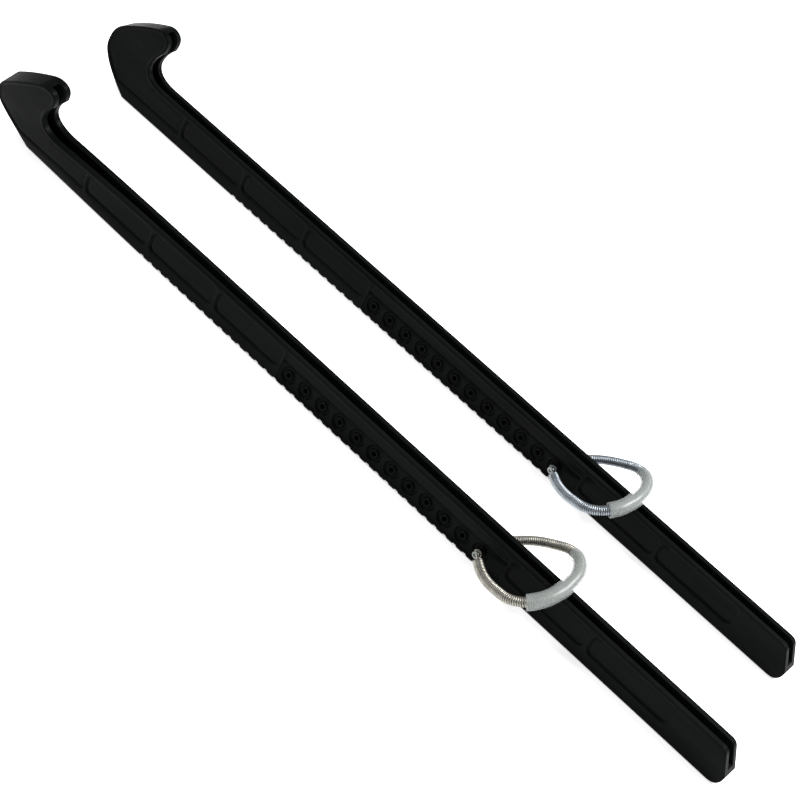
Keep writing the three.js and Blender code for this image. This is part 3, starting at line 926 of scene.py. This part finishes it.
def make_guard(name, roll, leaning):
    """All the finished pieces of one guard; gives back the place of its pin."""
    joint = next(j for j in frame["joints"] if j["name"] == name + "_loop_swing")
    pin = np.array(joint["pos_m"])
    origin = pin - np.array((PIN_PLACE, 0, HOLE_HEIGHT)) * MM
    body, loop = name + "_guard", name + "_loop"

    def settle(piece, part, rides):
        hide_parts(name + "_" + part)
        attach(piece, rides)

    points = leaned(guard_points) if leaning else guard_points
    settle(solid(name + "_moulding", points, guard_faces, origin, polymer, painted_shade=guard_painted_shade),
           "guard_body", body)

    settle(solid(name + "_rivet_pin", *turned(pin_profile(), PIN_SIDES), pin, pin_metal),
           "cross_pin", body)
    settle(solid(name + "_rivet_cap", *turned(cap_profile(), PIN_SIDES), pin, pin_metal),
           "pin_cap", body)

    path = smooth_path(loop_corners(roll))
    length = np.linalg.norm(np.diff(path, axis=0), axis=1).sum()
    turns = round(length / (2 * WIRE_RADIUS))
    settle(wound_wire(name + "_wound_spring", path, pin, wires[name], Turns=turns,
                      Coil_Radius=COIL_RADIUS * MM, Wire_Radius=WIRE_RADIUS * MM),
           "spring_coil", loop)
    for side, end, which in ((-1, path[0], "head_end"), (1, path[-1], "cap_end")):
        wire = round_wire(eye_path(side, end), EYE_WIRE_RADIUS)
        settle(solid(name + "_wire_eye_" + which, *wire, pin, wires[name], sharp=60),
               "spring_eye_" + which, loop)

    start = SLEEVE_STARTS[name]
    places = np.linspace(start + 0.003, SLEEVE_END - 0.003, 60)
    sections = [(start + 0.001, SLEEVE_OUTER - 0.12)] + [(p, SLEEVE_OUTER) for p in places]
    sections += [(SLEEVE_END - 0.001, SLEEVE_OUTER - 0.12), (SLEEVE_END, SLEEVE_OUTER - 0.35)]
    sections += [(SLEEVE_END - 0.001, SLEEVE_INNER + 0.1)] + [(p, SLEEVE_INNER) for p in places[::-1]]
    sections += [(start + 0.001, SLEEVE_INNER + 0.1), (start, SLEEVE_OUTER - 0.35)]
    settle(solid(name + "_vinyl_sleeve", *swept(path, sections), pin, vinyl, sharp=70),
           "clear_sleeve", loop)
    return pin


make_guard("left", math.radians(12), True)
right_pin = make_guard("right", math.radians(8), False)

# ---------------------------------------------------------------- floor, light and camera


def board():
    """A wide floor, so little below the soles that they don't share its plane."""
    mesh = bpy.data.meshes.new("floor_board")
    half = 3.0
    corners = [(-half, -half, 0), (half, -half, 0), (half, half, 0), (-half, half, 0)]
    mesh.from_pydata(corners, [], [(0, 1, 2, 3)])
    mesh.materials.append(pale_board())
    floor = bpy.data.objects.new("floor_board", mesh)
    floor.location.z = -0.0004
    bpy.context.scene.collection.objects.link(floor)


def soft_box(name, place, target, size, power):
    """A lamp with a flat face of this size, turned to its target; power is in watts."""
    lamp = bpy.data.lights.new(name, "AREA")
    lamp.shape = "RECTANGLE"
    lamp.size, lamp.size_y = size
    lamp.energy = power
    holder = bpy.data.objects.new(name, lamp)
    holder.location = place
    holder.rotation_mode = "QUATERNION"
    holder.rotation_quaternion = (Vector(target) - Vector(place)).to_track_quat("-Z", "Y")
    bpy.context.scene.collection.objects.link(holder)


def camera(place, yaw, pitch, roll, lens):
    """A camera at a place, turned to the left, down and about its own axis by these degrees."""
    y, p, r = (math.radians(a) for a in (yaw, pitch, roll))
    forward = Vector((-math.sin(y) * math.cos(p), math.cos(y) * math.cos(p), -math.sin(p)))
    level = Vector((math.cos(y), math.sin(y), 0))
    rise = level.cross(forward)
    right = level * math.cos(r) + rise * math.sin(r)
    up = rise * math.cos(r) - level * math.sin(r)
    data = bpy.data.cameras.new("camera")
    data.lens = lens
    data.sensor_width = 36
    data.clip_start = 0.01
    data.clip_end = 50
    holder = bpy.data.objects.new("camera", data)
    bpy.context.scene.collection.objects.link(holder)
    turn = Matrix((right, up, -forward)).transposed().to_4x4()
    turn.translation = Vector(place)
    holder.matrix_world = turn
    bpy.context.scene.camera = holder


CAMERA_FROM_PIN = (208.31, -764.0, 561.2)       # from the right guard's pin, in millimetres
CAMERA_TURN = (21.22, 36.09, 29.28)             # yaw, pitch and roll in degrees
CAMERA_LENS = 90.41

board()
world = bpy.data.worlds.new("white studio")
bpy.context.scene.world = world
world.use_nodes = True
world.node_tree.nodes["Background"].inputs["Color"].default_value = linear("#FFFFFF")
world.node_tree.nodes["Background"].inputs["Strength"].default_value = 0.45
soft_box("high soft box", (0.6, 0.45, 1.0), (0, 0, 0), (0.7, 0.35), 22)
soft_box("side soft box", (-0.9, -0.5, 0.9), (0, 0, 0), (0.3, 0.6), 5)
bpy.context.scene.view_settings.view_transform = "Standard"
camera(Vector(right_pin) + Vector(CAMERA_FROM_PIN) * MM, *CAMERA_TURN, CAMERA_LENS)
